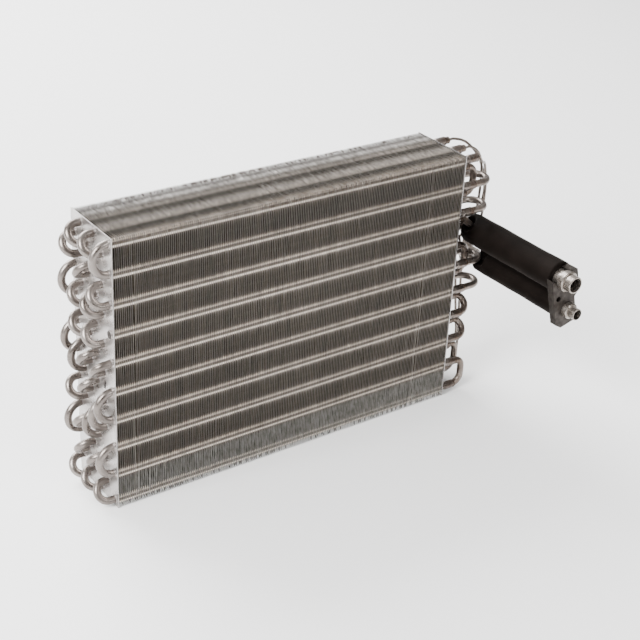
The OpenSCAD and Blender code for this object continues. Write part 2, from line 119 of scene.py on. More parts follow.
camera_data = bpy.data.cameras.new("camera")
camera_data.sensor_width = SENSOR
camera_data.lens = SENSOR * FOCAL_PIXELS / PHOTO_PIXELS
camera_data.clip_end = SIGHT
camera = bpy.data.objects.new("camera", camera_data)
bpy.context.scene.collection.objects.link(camera)
camera.matrix_world = matrix_of(right, up, back, place)
bpy.context.scene.camera = camera
print("camera at", place.round(3), "lens", round(camera_data.lens, 2), "mm")

# %% [markdown]
# Every new piece is a set of points and four-sided faces worked out with
# numpy. These helpers put whole arrays into a Blender mesh at once, which is
# much faster than adding faces one by one.

# %% Helpers: arrays into a mesh


def make_piece(name, points, quads, material, smooth=True):
    """A mesh object from points in mm (n, 3) and faces as point numbers (m, 4)."""
    mesh = bpy.data.meshes.new(name)
    points = from_corner(points)
    quads = np.asarray(quads, np.int32)
    mesh.vertices.add(len(points))
    mesh.vertices.foreach_set("co", points.ravel().astype(np.float32))
    mesh.loops.add(quads.size)
    mesh.loops.foreach_set("vertex_index", quads.ravel())
    mesh.polygons.add(len(quads))
    mesh.polygons.foreach_set("loop_start", np.arange(0, quads.size, 4, dtype=np.int32))
    mesh.polygons.foreach_set("use_smooth", np.full(len(quads), smooth))
    mesh.update(calc_edges=True)
    mesh.validate()
    mesh.materials.append(material)
    piece = bpy.data.objects.new(name, mesh)
    bpy.context.scene.collection.objects.link(piece)
    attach(piece, "root")
    print(name, len(points), "points,", len(quads), "faces")
    return piece


def grid_faces(rows, columns, closed_rows=False, closed_columns=False):
    """Four-sided faces of a grid of points that is stored row by row."""
    a = np.arange(rows if closed_rows else rows - 1)[:, None]
    b = np.arange(columns if closed_columns else columns - 1)[None, :]
    a2, b2 = (a + 1) % rows, (b + 1) % columns
    corner = [a * columns + b, a * columns + b2, a2 * columns + b2, a2 * columns + b]
    return np.stack([c + 0 * a * b for c in corner], -1).reshape(-1, 4)


# %% [markdown]
# Every finish is a small network of nodes. Each of these helpers adds one node
# and hands back its output, so that a material reads as a few lines. The
# patterns read Object coordinates. All pieces stand at the origin, so these
# are metres in the shared frame, and a pattern runs on from piece to piece.

# %% Helpers: noise, ramps and relief


def node_material(name):
    """An empty node material, its node tree, its shader and its coordinates."""
    material = bpy.data.materials.new(name)
    material.use_nodes = True
    tree = material.node_tree
    shader = tree.nodes["Principled BSDF"]
    coordinates = tree.nodes.new("ShaderNodeTexCoord")
    return material, tree, shader, coordinates.outputs["Object"]


def noise(tree, vector, scale, detail=3.0, stretch=None):
    """Noise of `scale` waves to the metre; `stretch` scales its three axes."""
    if stretch is not None:
        mapping = tree.nodes.new("ShaderNodeMapping")
        mapping.inputs["Scale"].default_value = stretch
        tree.links.new(vector, mapping.inputs["Vector"])
        vector = mapping.outputs["Vector"]
    node = tree.nodes.new("ShaderNodeTexNoise")
    node.inputs["Scale"].default_value = scale
    node.inputs["Detail"].default_value = detail
    tree.links.new(vector, node.inputs["Vector"])
    return node.outputs["Fac"]


def ramp(tree, value, stops):
    """Colour ramp over `value`; stops are (position, (r, g, b))."""
    node = tree.nodes.new("ShaderNodeValToRGB")
    elements = node.color_ramp.elements
    while len(elements) < len(stops):
        elements.new(0.5)
    for element, (position, colour) in zip(elements, stops):
        element.position = position
        element.color = (*colour, 1.0)
    tree.links.new(value, node.inputs["Fac"])
    return node.outputs["Color"]


def spread(tree, value, low, high):
    """Value 0.3 to 0.7 of a noise carried over to the range low to high."""
    node = tree.nodes.new("ShaderNodeMapRange")
    limits = {"From Min": 0.3, "From Max": 0.7, "To Min": low, "To Max": high}
    for socket, limit in limits.items():
        node.inputs[socket].default_value = limit
    tree.links.new(value, node.inputs["Value"])
    return node.outputs["Result"]


def bump(tree, shader, height, strength, distance):
    """Shallow relief of `distance` metres on the shader's normal."""
    node = tree.nodes.new("ShaderNodeBump")
    node.inputs["Strength"].default_value = strength
    node.inputs["Distance"].default_value = distance
    tree.links.new(height, node.inputs["Height"])
    tree.links.new(node.outputs["Normal"], shader.inputs["Normal"])


# %% [markdown]
# Some tones belong to a place on the object, such as a stain near the joints
# or a pale band along the bottom. One coordinate is turned into a value from 0
# to 1 over a stretch of the object. A ramp over that value then gives a colour
# for each place, or a share that tells a mix how much it may take.

# %% Helpers: places and mixes


def run_along(tree, vector, axis, span, start=0.0):
    """(Coordinate from the corner - start) / span, in mm; a span below 0 runs back."""
    split = tree.nodes.new("ShaderNodeSeparateXYZ")
    tree.links.new(vector, split.inputs["Vector"])
    node = tree.nodes.new("ShaderNodeMath")
    node.operation = "MULTIPLY_ADD"
    node.inputs[1].default_value = 1 / (span * MM)
    node.inputs[2].default_value = -(CORNER["XYZ".index(axis)] / MM + start) / span
    tree.links.new(split.outputs[axis], node.inputs[0])
    return node.outputs[0]


def share_at(tree, vector, axis, span, stops, start=0.0):
    """Share from 0 to 1 by place; stops are (mm from the core's corner, share)."""
    run = run_along(tree, vector, axis, span, start)
    return ramp(tree, run, [((at - start) / span, (share,) * 3) for at, share in stops])


def blend(tree, kind, amount, first, second):
    """Two colours mixed as MULTIPLY, SCREEN or MIX; amount is a number or a value."""
    node = tree.nodes.new("ShaderNodeMix")
    node.data_type = "RGBA"
    node.blend_type = kind
    for number, value in ((0, amount), (6, first), (7, second)):
        if isinstance(value, (float, int)):
            node.inputs[number].default_value = value
        elif isinstance(value, tuple):
            node.inputs[number].default_value = (*value, 1.0)
        else:
            tree.links.new(value, node.inputs[number])
    return node.outputs[2]


# %% [markdown]
# Bare aluminium is never one flat grey. Each metal here is a Principled shader
# whose colour runs between two tones by a broad noise, whose gloss varies with
# a second, finer noise, and whose surface has a shallow bump. The tubes were
# joined with a torch, which left brown tarnish in patches round the bells at
# the right. It is mixed in by place, so one material serves the whole tube.

# %% Helper: a metal, with or without heat stain
STAIN_SPAN, STAIN_START = 40.0, 335.0
STAIN_STOPS = ((341.0, 0.0), (350.0, 1.0), (359.0, 1.0), (369.0, 0.0))
STAIN_PATCHES = [(0.35, (0.75, 0.75, 0.75)), (0.62, (0.2, 0.2, 0.2))]
STAIN_BROWN = (0.5, 0.37, 0.28)


def heat_stain(tree, vector, colour):
    """Colour times brown, by a share over the tube's length times one in patches."""
    near = share_at(tree, vector, "X", STAIN_SPAN, STAIN_STOPS, STAIN_START)
    patches = ramp(tree, noise(tree, vector, 260.0, 3.0), STAIN_PATCHES)
    amount = blend(tree, "MULTIPLY", 1.0, near, patches)
    return blend(tree, "MULTIPLY", amount, colour, STAIN_BROWN)


def metal(
    name, dark, light, rough, scale=90.0, grain=900.0, relief=0.00005, stained=False
):
    """Satin metal: two tones by a broad noise, gloss and bump by a fine one."""
    material, tree, shader, place_in = node_material(name)
    broad = noise(tree, place_in, scale, 4.0)
    fine = noise(tree, place_in, grain, 2.0)
    toned = ramp(tree, broad, [(0.32, dark), (0.68, light)])
    if stained:
        toned = heat_stain(tree, place_in, toned)
    tree.links.new(toned, shader.inputs["Base Color"])
    tree.links.new(spread(tree, fine, *rough), shader.inputs["Roughness"])
    shader.inputs["Metallic"].default_value = 0.9
    bump(tree, shader, fine, 0.3, relief)
    return material


# %% [markdown]
# Each process leaves its own surface. Drawn tube is smooth and dark, bends are
# a little rougher, sheet is pale, turned ends are bright, the milled block is
# nearly black, and braze is dull and brown. The tones were set by comparing
# renders with the photograph, one piece at a time.

# %% The metals
tube_metal = metal(
    "drawn_tube", (0.13, 0.111, 0.099), (0.25, 0.223, 0.205), (0.24, 0.34),
    scale=50.0, grain=180.0, relief=0.00001, stained=True,
)
plate_metal = metal(
    "plate_sheet", (0.4, 0.375, 0.36), (0.54, 0.515, 0.5), (0.24, 0.32),
    scale=40.0, grain=90.0, relief=0.00003,
)
bend_metal = metal(
    "return_bend_tube", (0.13, 0.108, 0.093), (0.32, 0.284, 0.257), (0.26, 0.38),
    scale=100.0, grain=250.0, relief=0.00001, stained=True,
)
pipe_metal = metal(
    "pipe_tube", (0.2, 0.19, 0.18), (0.36, 0.35, 0.34), (0.28, 0.45), scale=50.0
)
stub_metal = metal(
    "turned_stub", (0.16, 0.135, 0.115), (0.44, 0.4, 0.36), (0.22, 0.38),
    scale=260.0, relief=0.00002,
)
block_metal = metal(
    "milled_block", (0.026, 0.021, 0.018), (0.064, 0.055, 0.049), (0.4, 0.6),
    scale=220.0, grain=1400.0,
)
capillary_metal = metal(
    "capillary_tube", (0.1, 0.082, 0.07), (0.28, 0.24, 0.21), (0.25, 0.4), scale=120.0
)
fitting_metal = metal(
    "feed_fitting", (0.14, 0.115, 0.095), (0.4, 0.35, 0.31), (0.24, 0.4), stained=True
)
braze_metal = metal(
    "braze", (0.035, 0.02, 0.012), (0.13, 0.085, 0.06), (0.35, 0.6), scale=400.0
)
print(len(bpy.data.materials), "metals")

# %% [markdown]
# The sleeves are closed-cell foam: matt black, a little warm, with a very fine
# grain and a faint sheen where the light grazes it. The sheen is a plain
# number on the shader, so the export keeps it.

# %% The foam
foam_black, tree, shader, place_in = node_material("foam")
cells = noise(tree, place_in, 1500.0, 4.0)
patches = noise(tree, place_in, 45.0, 3.0)
foam_tones = [(0.35, (0.0016, 0.0011, 0.0009)), (0.7, (0.0045, 0.0032, 0.0027))]
tree.links.new(ramp(tree, patches, foam_tones), shader.inputs["Base Color"])
foam_look = {
    "Roughness": 0.7,
    "Specular IOR Level": 0.09,
    "Specular Tint": (1.0, 0.82, 0.72, 1.0),
    "Sheen Weight": 0.015,
    "Sheen Tint": (1.0, 0.8, 0.7, 1.0),
    "Sheen Roughness": 0.4,
}
for socket, value in foam_look.items():
    shader.inputs[socket].default_value = value
bump(tree, shader, cells, 0.35, 0.00012)
print("foam has", len(tree.nodes), "nodes")

# %% [markdown]
# Each solid of the frame takes the finish of its own piece. The nodes' meshes
# stay as they are; only their material slots change. The fin pack and the two
# foam solids are replaced further down, so theirs never shows.

# %% Finishes of the frame's solids
finish_of = {
    "hairpin": tube_metal,
    "return_bends": bend_metal,
    "outlet_spur": bend_metal,
    "capillary": capillary_metal,
    "feed_plugs": fitting_metal,
    "distributor": fitting_metal,
    "suction_pipe": pipe_metal,
    "header_cap": pipe_metal,
    "liquid_pipe": pipe_metal,
    "suction_foam": foam_black,
    "liquid_foam": foam_black,
    "suction_stub": stub_metal,
    "liquid_stub": stub_metal,
    "flange_block": block_metal,
    "left_end_plate": plate_metal,
    "right_end_plate": plate_metal,
    "fin_pack": plate_metal,
}
for name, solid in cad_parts.items():
    material = next(m for key, m in finish_of.items() if name.startswith(key))
    solid.data.materials.clear()
    solid.data.materials.append(material)
    first_slot = np.zeros(len(solid.data.polygons), np.int32)
    solid.data.polygons.foreach_set("material_index", first_slot)
print(len(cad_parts), "solids have their finish")

# %% [markdown]
# ## The fins
# Two hundred thin sheets stand on the tubes, 1.69 mm apart. Each sheet is rippled from front to
# back, with a fold at every row of tubes, and its edges are a little bent by handling. Only the
# outer few millimetres of a sheet can be seen between its neighbours, so each fin is four edge
# strips round one dark block of painted shade, which keeps the face count low.

# %% Sizes of the fins
# count of the sheets, their pitch, and the plate's thickness, where they start
FINS, PITCH, PLATE = 200, 1.69, 0.7
PACK_END = PLATE + FINS * PITCH
# depth and height of the core, step between rows, pitch of the tubes in a row
CORE_D, CORE_H, ROW_STEP, TUBE_PITCH = 66.0, 240.0, 11.0, 25.4
# axis of the first row behind the front, and of the lowest tubes over the bottom
EDGE_Y, EDGE_Z = 5.5, 5.7
# the sheets end this far inside the core's box, and a sheet's thickness
INSET, SHEET = 0.4, 0.16
# height of the ripple, how near its folds come to sharp, and air at the plates
RIPPLE, SHARP, AIR = 0.5, 0.97, 0.02
# a bent edge has gone back to about a third at this depth
FADE_DEPTH = 2.2
fin_x = PLATE + PITCH * (np.arange(FINS) + 0.5)
print("fins from x", fin_x[0], "to", fin_x[-1], "mm")

# %% [markdown]
# A fin's shape is its straight place plus two waves. The ripple is pressed in
# by the maker and is the same on every fin. The handling differs from fin to
# fin: neighbours lean together in long waves, gaps open and close in short
# ones, and single knocks have left dents. All of it is one sum of smooth
# functions, so it is worked out for every point of every fin at once.

# %% Ripple and handling
FULL_TURN = 6.283
# height in mm, and how fast the waves run over fin number and over mm
LONG_WAVES = ((0.09, 0.05, 0.05), (0.05, 0.12, 0.11), (0.03, 0.3, 0.3))
OWN_HEIGHT, OWN_WAVES = 0.05, (0.25, 0.9)
SHORT_WAVES, SHORT_SLANT = (1.1, 2.6), 0.12


def ripple(y):
    """Sideways wave of a fin in mm: a soft zigzag with a fold at each tube row."""
    fold = np.arcsin(SHARP * np.cos(np.pi * (y - EDGE_Y) / ROW_STEP))
    return RIPPLE * (2 / np.pi) * fold


def handling(number, along, seed, lively, nicks=()):
    """
    Sideways bend of an edge in mm. A sum of long waves over fin number and
    place lets neighbours lean together, a short wave differs from fin to fin,
    waves of a few fins and height `lively` open and close the gaps, and each
    nick is a bell-shaped push (fin, place, fins wide, mm long, mm).
    """
    random = np.random.default_rng(seed)
    bend = np.zeros(np.broadcast(number, along).shape)
    for size, fin_waves, edge_waves in LONG_WAVES:
        for _ in range(3):
            a, b = random.normal(0, fin_waves), random.normal(0, edge_waves)
            bend += size * np.sin(a * number + b * along + random.uniform(0, FULL_TURN))
    own = random.uniform(0, FULL_TURN, FINS)[number]
    own_waves = random.uniform(*OWN_WAVES, FINS)[number]
    bend += OWN_HEIGHT * np.sin(own_waves * along + own)
    for _ in range(4):
        a, b = random.uniform(*SHORT_WAVES), random.normal(0, SHORT_SLANT)
        bend += lively * np.sin(a * number + b * along + random.uniform(0, FULL_TURN))
    for fin, at, fins_wide, long, push in nicks:
        bend += push * np.exp(-(((number - fin) / fins_wide) ** 2) - ((along - at) / long) ** 2)
    return bend


# %% [markdown]
# All strips along one edge of the pack are one piece: a block of points with
# three counts, fin by fin, place by place down the edge, and round the sheet's
# section. One strip's faces are worked out once and repeated for each fin.

# %% Strips along one edge of all fins


def edge_strips(name, along, to_yz, seed, lively, nicks, material):
    """
    One closed strip per fin. `along` runs down the edge, and to_yz turns it
    and the depth into Y and Z. The section goes in along one side of the sheet
    and back along the other, half a sheet's thickness off. X is the fin's
    place plus its ripple plus its handling, which fades with the depth.
    """
    depths = np.array([0.0, 1.2, 5.0])
    number = np.arange(FINS)[:, None, None]
    run = along[None, :, None]
    section = np.concatenate([depths[::-1], depths])
    side = np.repeat([-1.0, 1.0], len(depths)) * SHEET / 2
    deep = section[None, None, :]
    y, z = to_yz(run, deep)
    bend = handling(number, run, seed, lively, nicks) * np.exp(-deep / FADE_DEPTH)
    x = fin_x[number] + ripple(y) + side[None, None, :] + bend
    x = np.clip(x, PLATE + AIR, PACK_END - AIR)
    points = np.stack(np.broadcast_arrays(x, y, z), -1).reshape(-1, 3)
    count, ring = len(along), len(section)
    k = np.arange(len(depths) - 1)
    cap = np.stack([k, k + 1, ring - 2 - k, ring - 1 - k], -1)
    sides = grid_faces(count, ring, closed_columns=True)
    one = np.concatenate([sides, cap, cap[:, ::-1] + (count - 1) * ring])
    faces = (one[None] + (np.arange(FINS) * count * ring)[:, None, None]).reshape(-1, 4)
    return make_piece(name, points, faces[:, ::-1], material, smooth=False)


# %% [markdown]
# The fins' own metal is a thin bright foil that has dulled. What one sees of it is the first two
# millimetres of each sheet's side, which the ripple turns to and from the light. That light and
# shade is painted into the colour: the top has painted light and dark bands that run along the
# pack, and the front has painted highlight lines above and below each tube, like the collars' own,
# with painted shade between the rows. The tables are brightnesses at their places: on the front the
# height over a tube's axis, in a table that repeats with every tube, and on the top the distance
# from the front edge. Each row is (mm, grey, warmth).

# %% Tables of painted light and shade


def tones_over(length, middle, table):
    """Ramp stops from (place in mm, grey, warmth) over a span of `length` mm."""
    return [
        ((at + middle) / length, (grey * (1 + warm), grey, grey * (1 - warm)))
        for at, grey, warm in table
    ]


# painted highlight lines above and below each tube, and painted shade between the rows
row_light_and_shade = tones_over(
    TUBE_PITCH, TUBE_PITCH / 2,
    [
        (-12.7, 0.062, 0.32), (-9.0, 0.05, 0.36), (-5.0, 0.09, 0.28), (-3.2, 0.18, 0.18),
        (-2.0, 0.5, 0.12), (-0.5, 0.7, 0.12), (0.7, 0.11, 0.2), (2.2, 0.12, 0.18),
        (3.5, 0.95, 0.13), (4.7, 0.3, 0.15), (6.1, 0.095, 0.24), (9.0, 0.055, 0.34),
        (12.7, 0.048, 0.36),
    ],
)
# painted light and dark bands along the top, where the ripple turns the sheets to and from the
# light, brightest at the lit back edge
top_light_and_shade = tones_over(
    CORE_D, 0.0,
    [
        (0.0, 0.36, 0.12), (4.0, 0.22, 0.14), (7.5, 0.08, 0.2), (10.5, 0.022, 0.28),
        (15.2, 0.022, 0.28), (17.8, 0.27, 0.14), (21.5, 0.36, 0.12), (26.5, 0.26, 0.1),
        (30.0, 0.1, 0.14), (33.0, 0.022, 0.28), (37.4, 0.03, 0.24), (41.0, 0.28, 0.13),
        (46.0, 0.15, 0.12), (51.5, 0.6, 0.04), (56.5, 0.16, 0.06), (60.5, 0.55, 0.02),
        (65.0, 0.95, 0.0),
    ],
)
# the bottom is the top's painted light and shade with less contrast
bottom_light_and_shade = [(at, tuple(0.3 + 0.55 * c for c in colour)) for at, colour in top_light_and_shade]
print("tones of the rows", len(row_light_and_shade), "and of the top", len(top_light_and_shade))

# %% [markdown]
# The front's tone changes by place. The highest gap gets painted shade, as under the edge. The
# lowest one is paler, and the tips below it get painted light, where light shows between them. Two
# fins have their edge folded over, which gets a painted highlight line, clearest at the bottom.
# Each of these is a share by place that mixes a second colour into the tone.

# %% Painted light and shade on the front, and its pale low band
LOW_SPAN, WIDE_SPAN = 32.0, 340.0
LOW_BAND = ((0.0, 0.75), (26.0, 0.7), (29.0, 0.0))
# where the lowest tips get their painted light
LOW_TIPS = ((0.0, 1.0), (3.0, 0.9), (4.6, 0.0))
# painted highlight lines along the two folded fins, fading upward
FOLD_HIGHLIGHT_PLACES = ((16.9, 0.0), (17.6, 0.8), (18.3, 0.0), (300.0, 0.0), (301.0, 0.9), (302.0, 0.0))
FOLD_HIGHLIGHT_FADE = ((5.0, 1.0), (28.0, 0.9), (82.0, 0.6), (90.0, 0.2))
# painted shade in the highest gap
SHADE_STOPS = [(0.82, (1.0, 1.0, 1.0)), (0.9, (0.66, 0.64, 0.62))]
PALE_STOPS = [(0.3, (0.1, 0.098, 0.088)), (0.7, (0.42, 0.41, 0.38))]
# colour of the tips' painted light, and of the folds' painted highlight
TIP_LIGHT_PAINT, FOLD_HIGHLIGHT = (0.95, 0.95, 0.93), (0.62, 0.57, 0.52)


def front_light_shade_and_pale_band(tree, place_in, toned):
    """Tone times the painted shade at the top, mixed to pale below, to painted light at the tips,
    and to painted highlights on the two folds.
    """
    shade = ramp(tree, run_along(tree, place_in, "Z", CORE_H), SHADE_STOPS)
    toned = blend(tree, "MULTIPLY", 1.0, toned, shade)
    pale = ramp(tree, noise(tree, place_in, 100.0, 4.0, (7.0, 1.0, 1.5)), PALE_STOPS)
    low_band = share_at(tree, place_in, "Z", LOW_SPAN, LOW_BAND)
    toned = blend(tree, "MIX", low_band, toned, pale)
    low_tips = share_at(tree, place_in, "Z", LOW_SPAN, LOW_TIPS)
    toned = blend(tree, "MIX", low_tips, toned, TIP_LIGHT_PAINT)
    across = share_at(tree, place_in, "X", WIDE_SPAN, FOLD_HIGHLIGHT_PLACES)
    upward = share_at(tree, place_in, "Z", CORE_H, FOLD_HIGHLIGHT_FADE)
    return blend(tree, "MIX", blend(tree, "MULTIPLY", 1.0, across, upward), toned, FOLD_HIGHLIGHT)


# %% [markdown]
# The foil's colour is the table's painted light and shade, times a noise stretched along the edge
# for the streaks of dust and old condensate, times a second noise of painted light and shade that
# changes from fin to fin, because each one leans differently to the light. The very edge of a sheet
# gets a painted highlight: a ramp over the depth brightens it.

# %% Helper: the fins' foil
STREAKS = [(0.3, (0.62, 0.6, 0.58)), (0.7, (1.0, 1.0, 1.0))]
LEAN = [(0.32, (0.3, 0.29, 0.28)), (0.68, (1.0, 1.0, 1.0))]
# colour of the painted highlight along the edge of each sheet
EDGE_HIGHLIGHT = (0.75, 0.71, 0.66)


def fraction(tree, value):
    """The part of a value behind its point, so a pattern repeats."""
    node = tree.nodes.new("ShaderNodeMath")
    node.operation = "FRACT"
    tree.links.new(value, node.inputs[0])
    return node.outputs[0]


def foil(name, tones, tones_run, edge_run, repeats, stretch, leaning, glint_and_gloss, rim, front_tones_by_place=False):
    """
    Fin foil: painted light and shade over `tones_run`, times streaks of dust and the painted light
    of each fin's lean, with a painted highlight towards the edge over `edge_run`. A run is (axis,
    span, start) as run_along takes it.
    """
    material, tree, shader, place_in = node_material(name)
    run = run_along(tree, place_in, *tones_run)
    toned = ramp(tree, fraction(tree, run) if repeats else run, tones)
    streaks = ramp(tree, noise(tree, place_in, 60.0, 4.0, stretch), STREAKS)
    toned = blend(tree, "MULTIPLY", 1.0, toned, streaks)
    lean = ramp(tree, noise(tree, place_in, 40.0, 3.0, (15.0, 2.5, 2.5)), LEAN)
    toned = blend(tree, "MULTIPLY", leaning, toned, lean)
    # the front takes painted shade, painted light and its pale low band
    if front_tones_by_place:
        toned = front_light_shade_and_pale_band(tree, place_in, toned)
    # painted highlight: the colour is lightened towards the sheet's edge
    depth = run_along(tree, place_in, *edge_run)
    edge_glint_mask = ramp(tree, depth, [(0.02, (1.0, 1.0, 1.0)), (rim, (0.0, 0.0, 0.0))])
    glinted = blend(tree, "SCREEN", glint_and_gloss, toned, EDGE_HIGHLIGHT)
    tree.links.new(blend(tree, "MIX", edge_glint_mask, toned, glinted), shader.inputs["Base Color"])
    speckle = noise(tree, place_in, 900.0, 3.0)
    tree.links.new(spread(tree, speckle, 0.45, 0.7), shader.inputs["Roughness"])
    shader.inputs["Metallic"].default_value = 0.35
    shader.inputs["Specular IOR Level"].default_value = 0.15
    bump(tree, shader, speckle, 0.25, 0.00005)
    return material


# %% [markdown]
# The four sides of the pack differ in how the painted light and shade runs, from which edge the
# painted highlight at the rim is measured, and how much each fin's painted lean stands out. The
# streaks are drawn out upwards on the front and back, and across the fins on the top and bottom.

# %% The foil of each side
EDGE_SPAN = 4.0
# the rows' table starts half a pitch under an axis; even rows sit half a pitch lower
odd_rows = ("Z", TUBE_PITCH, EDGE_Z - TUBE_PITCH / 2)
even_rows = ("Z", TUBE_PITCH, EDGE_Z - TUBE_PITCH)
front_to_back = ("Y", CORE_D)
# how strongly each sheet's edge is lightened by its painted highlight
upright = {
    "repeats": True, "stretch": (3.0, 1.0, 0.35), "leaning": 0.55, "glint_and_gloss": 0.3, "rim": 0.09,
}
level = {"repeats": False, "stretch": (12.0, 0.8, 1.0), "leaning": 0.85, "rim": 0.05}
fin_front = foil(
    "fin_foil_front", row_light_and_shade, odd_rows, ("Y", EDGE_SPAN, INSET), front_tones_by_place=True, **upright
)
fin_back = foil(
    "fin_foil_back", row_light_and_shade, even_rows, ("Y", -EDGE_SPAN, CORE_D - INSET), **upright
)
fin_top = foil(
    "fin_foil_top", top_light_and_shade, front_to_back, ("Z", -EDGE_SPAN, CORE_H - INSET),
    glint_and_gloss=0.18, **level,
)
fin_bottom = foil(
    "fin_foil_bottom", bottom_light_and_shade, front_to_back, ("Z", EDGE_SPAN, INSET),
    glint_and_gloss=0.14, **level,
)
print("foil of the front has", len(fin_front.node_tree.nodes), "nodes")

# %% [markdown]
# A used core has many small knocks. They are drawn at random within ranges
# that follow the photograph: most lie on the top, near the back edge at the
# left, and in the two dark bands. The front has two fins folded over their
# whole height, two pushed places low down, and many slight ones.

# %% Dents
# seed, count, and ranges of fin, place in mm, fins wide, mm long, mm pushed
TOP_DENTS = (
    (31, 60, (5, 46), (47, 63), (0.5, 0.9), (1.5, 4.0), (0.7, 1.3)),
    (32, 22, (80, 104), (48, 62), (0.5, 0.9), (1.5, 4.0), (0.7, 1.2)),
    (33, 70, (20, 198), (28, 40), (0.5, 1.0), (1.2, 3.0), (0.5, 1.1)),
    (34, 70, (8, 198), (5, 17), (0.5, 1.0), (1.2, 3.0), (0.5, 1.1)),
    (35, 30, (60, 198), (44, 63), (0.5, 0.9), (1.0, 3.0), (0.5, 1.0)),
)
FRONT_DENTS = (
    (41, 44, (4, 198), (12, 28), (0.5, 1.0), (2.0, 6.0), (0.4, 0.8)),
    (42, 90, (2, 198), (28, 238), (0.5, 1.1), (3.0, 14.0), (0.2, 0.5)),
)
# fin, place in mm, fins wide, mm long, mm pushed
FRONT_FOLDS = [
    (10, 120, 0.8, 200, 0.6), (178, 120, 0.8, 200, 0.75),
    (16, 18, 0.8, 12, 0.9), (88, 25, 2.0, 5, 0.8),
]


def scattered(seed, count, *ranges):
    """Random dents: one value from each range, the push to the left or the right."""
    random = np.random.default_rng(seed)
    sign = random.choice([-1, 1], count)
    columns = np.stack([random.uniform(*span, count) for span in ranges], 1)
    columns[:, -1] *= sign
    return columns.tolist()


top_nicks = [nick for row in TOP_DENTS for nick in scattered(*row)]
front_nicks = FRONT_FOLDS + [nick for row in FRONT_DENTS for nick in scattered(*row)]
print(len(top_nicks), "dents on the top and", len(front_nicks), "on the front")

# %% [markdown]
# The front edges get the most points, because the photograph looks at them.
# The back and the bottom take fewer points, and every second dent of the
# opposite side.

# %% The four edges of the pack


def places_along(length, count):
    """Evenly spaced places down an edge, from inset to inset."""
    return np.linspace(INSET, length - INSET, count)


edge_strips(
    "fin_front_edges", places_along(CORE_H, 73), lambda run, deep: (INSET + deep, run),
    11, 0.04, front_nicks, fin_front,
)
edge_strips(
    "fin_back_edges", places_along(CORE_H, 49), lambda run, deep: (CORE_D - INSET - deep, run),
    12, 0.04, front_nicks[::2], fin_back,
)
edge_strips(
    "fin_top_edges", places_along(CORE_D, 67), lambda run, deep: (run, CORE_H - INSET - deep),
    13, 0.12, top_nicks, fin_top,
)
edge_strips(
    "fin_bottom_edges", places_along(CORE_D, 34), lambda run, deep: (run, INSET + deep),
    14, 0.08, top_nicks[::2], fin_bottom,
)

# %% [markdown]
# The dark block behind the strips closes the view between the fins. It is painted shade: it stands
# in for the shaded depth of the pack, so it is nearly black and quite matt.

# %% The painted shade inside the pack
# painted shade: a nearly black block in place of the shaded depth between the fins
pack_shade, tree, shader, place_in = node_material("pack_inside")
shade_speckle = noise(tree, place_in, 300.0, 2.0)
shade_speckle_tones = [(0.3, (0.02, 0.017, 0.015)), (0.7, (0.05, 0.043, 0.038))]
tree.links.new(ramp(tree, shade_speckle, shade_speckle_tones), shader.inputs["Base Color"])
shader.inputs["Roughness"].default_value = 0.9
# the block starts this deep behind the edges, and just off the plates
BEHIND, OFF_PLATE = 4.5, 0.05
low = np.array([PLATE + OFF_PLATE, BEHIND, BEHIND])
high = np.array([PACK_END - OFF_PLATE, CORE_D - BEHIND, CORE_H - BEHIND])
corner = np.array([[i & 1, i >> 1 & 1, i >> 2 & 1] for i in range(8)])
inside = make_piece(
    "pack_inside", low + corner * (high - low),
    [[0, 2, 3, 1], [4, 5, 7, 6], [0, 1, 5, 4], [2, 6, 7, 3], [0, 4, 6, 2], [1, 3, 7, 5]],
    pack_shade, smooth=False,
)
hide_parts("fin_pack")

# %% [markdown]
# Each fin has a short collar round every tube, and the collars touch, so
# between the fins one sees a sleeve that flares where a collar meets its
# fin. It is a turned profile: the radius is a function of the place along the
# tube, carried round the axis. Only the outer side of the front and back rows
# shows, so each sleeve is a little less than half a turn.

# %% Collars on the outer tubes
# radius between fins, its rise at a fin, air at the plates, and the arc's half angle
COLLAR_R, FLARE, COLLAR_AIR, HALF_ARC = 4.2, 0.35, 0.1, 75
SEATS = {row: (10 if row % 2 else 9) for row in range(1, 7)}


def tube_place(row, seat):
    """Y and Z of a tube's axis in mm; even rows sit half a pitch lower."""
    lower = 0 if row % 2 else 0.5
    return EDGE_Y + (row - 1) * ROW_STEP, EDGE_Z + TUBE_PITCH * (10 - seat - lower)


def collar_sleeve(row, seat, steps, count, side):
    """Points of half a sleeve: radius = base + flare * (distance from mid-gap) ** 4."""
    y, z = tube_place(row, seat)
    along = np.linspace(PLATE + COLLAR_AIR, PACK_END - COLLAR_AIR, FINS * steps + 1)
    phase = np.abs(((along - PLATE) / PITCH) % 1 - 0.5) * 2
    radius = (COLLAR_R + FLARE * (1 - phase) ** 4)[:, None]
    angle = np.radians(np.linspace(-HALF_ARC, HALF_ARC, count))[None, :]
    x = along[:, None] + 0 * angle
    return np.stack([x, y - side * radius * np.cos(angle), z + radius * np.sin(angle)], -1)


def collar_row(name, row, steps, count, side, material):
    """All sleeves of one row, seen from the front (side 1) or the back (side -1)."""
    sleeves = [collar_sleeve(row, seat + 1, steps, count, side) for seat in range(SEATS[row])]
    rows, columns = sleeves[0].shape[:2]
    one = grid_faces(rows, columns)[:, :: -side]
    faces = np.concatenate([one + k * rows * columns for k in range(len(sleeves))])
    points = np.concatenate([s.reshape(-1, 3) for s in sleeves])
    return make_piece(name, points, faces, material)


# %% [markdown]
# The sleeves' upper and lower shoulders get painted highlights, as from the light above and the
# pale floor below, and the middle a painted dark reflection, which shows as a pair of light lines
# along every tube of the front row. The metal's tone is a ramp over the height above the tube's
# axis, in a pattern that repeats with the tube pitch.

